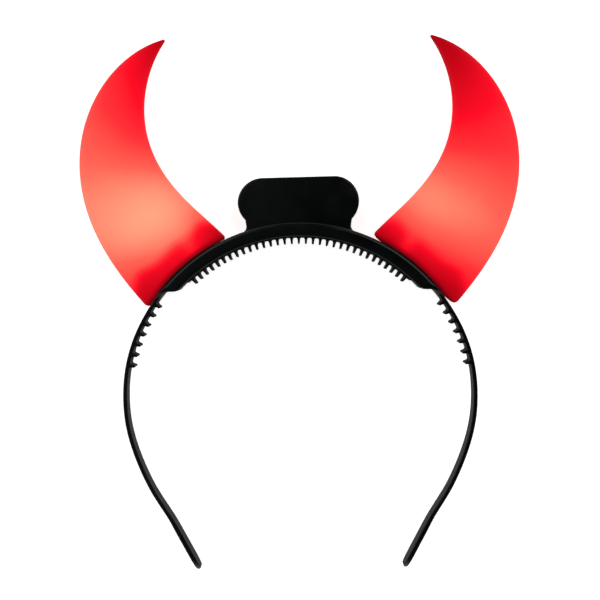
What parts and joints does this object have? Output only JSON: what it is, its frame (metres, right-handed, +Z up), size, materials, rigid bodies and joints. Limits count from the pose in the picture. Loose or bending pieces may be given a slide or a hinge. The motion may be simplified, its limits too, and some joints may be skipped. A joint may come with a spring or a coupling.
{
  "type": "devil horns headband",
  "caption": "Comb headband of springy moulded plastic with two hollow, lit, translucent devil horns and a bare tab on the crown.",
  "frame": {"origin": "on the surface that it lies on, below the middle of its box", "axes": "+Z up and toward the object's front face, +Y from the feet toward the horn tips, +X from the left horn to the right horn as the front is seen"},
  "size_m": [0.1688, 0.204, 0.0172],
  "materials": {
    "black_plastic": "moulded, satin gloss",
    "comb_plastic": "moulded, satin gloss",
    "horn_plastic": "translucent, moulded, glowing from inside",
    "plug_plastic": "moulded",
    "lamp_resin": "clear resin, lit"
  },
  "bodies": {
    "root": {"headband": "black_plastic", "comb_strip": "comb_plastic", "horn_left": "horn_plastic", "horn_right": "horn_plastic", "horn_plug_left": "plug_plastic", "horn_plug_right": "plug_plastic", "lamp_left": "lamp_resin", "lamp_right": "lamp_resin"}
  },
  "joints": []
}
